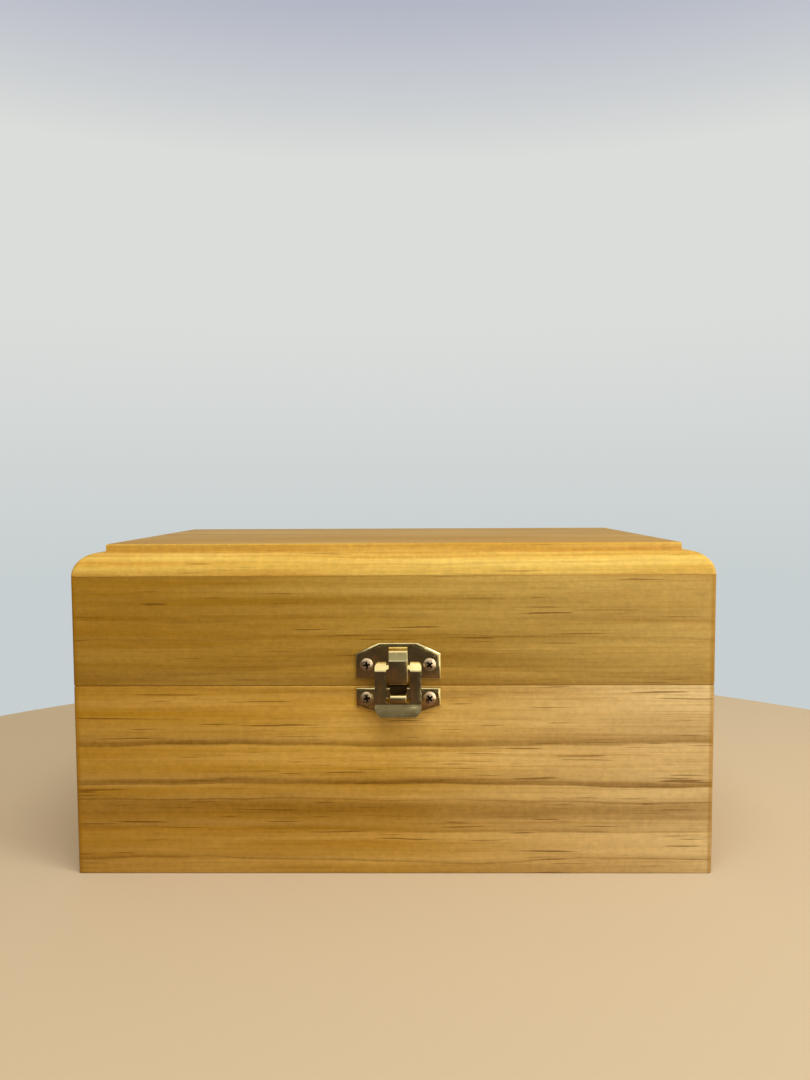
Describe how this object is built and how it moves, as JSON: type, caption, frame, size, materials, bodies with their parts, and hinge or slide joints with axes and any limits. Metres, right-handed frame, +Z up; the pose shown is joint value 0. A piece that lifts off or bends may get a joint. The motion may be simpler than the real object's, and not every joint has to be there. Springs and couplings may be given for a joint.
{
  "type": "essential oil storage box",
  "caption": "Rectangular pine box with a deep hinged lid, a moulded top board, a grid of crossing dividers for small bottles, stop hinges and a brass swing latch.",
  "frame": {"origin": "centre of the wooden box's underside, on the surface that it stands on", "axes": "+X to the right along the front, +Y from the latch to the hinges, +Z up"},
  "size_m": [0.25, 0.1622, 0.13],
  "materials": {
    "pine_box_walls": "satin varnish over golden pine",
    "pine_lid_walls": "satin varnish over golden pine",
    "pine_top_board": "satin varnish over golden pine",
    "base_board": "sanded thin board, unvarnished",
    "divider_board": "sanded thin slats, unvarnished",
    "latch_plating": "bright brass plating on steel",
    "screw_plating": "bright brass plating on steel",
    "hinge_plating": "brass plating on steel"
  },
  "bodies": {
    "box": {"body_front": "pine_box_walls", "body_back": "pine_box_walls", "body_left": "pine_box_walls", "body_right": "pine_box_walls", "body_bottom": "base_board", "divider_long_1": "divider_board", "divider_long_2": "divider_board", "divider_long_3": "divider_board", "divider_cross_1": "divider_board", "divider_cross_2": "divider_board", "divider_cross_3": "divider_board", "divider_cross_4": "divider_board", "divider_cross_5": "divider_board", "divider_cross_6": "divider_board", "latch_box_plate": "latch_plating", "latch_box_screws": "screw_plating", "hinge_left_box_leaf": "hinge_plating", "hinge_right_box_leaf": "hinge_plating", "hinge_left_pin": "hinge_plating", "hinge_right_pin": "hinge_plating", "hinge_box_screws": "screw_plating"},
    "lid": {"lid_front": "pine_lid_walls", "lid_back": "pine_lid_walls", "lid_left": "pine_lid_walls", "lid_right": "pine_lid_walls", "lid_top": "pine_top_board", "latch_lid_plate": "latch_plating", "latch_lid_screws": "screw_plating", "hinge_left_lid_leaf": "hinge_plating", "hinge_right_lid_leaf": "hinge_plating", "hinge_lid_screws": "screw_plating"},
    "latch": {"latch_frame": "latch_plating"}
  },
  "joints": [
    {"name": "lid_hinge", "type": "hinge", "parent": "box", "child": "lid", "pos_m": [0, 0.0773, 0.075], "axis": [-1, 0, 0], "range_deg": [0, 100]},
    {"name": "latch_swing", "type": "hinge", "parent": "lid", "child": "latch", "pos_m": [0.0021, -0.07766, 0.083], "axis": [-1, 0, 0], "range_deg": [0, 160]}
  ]
}
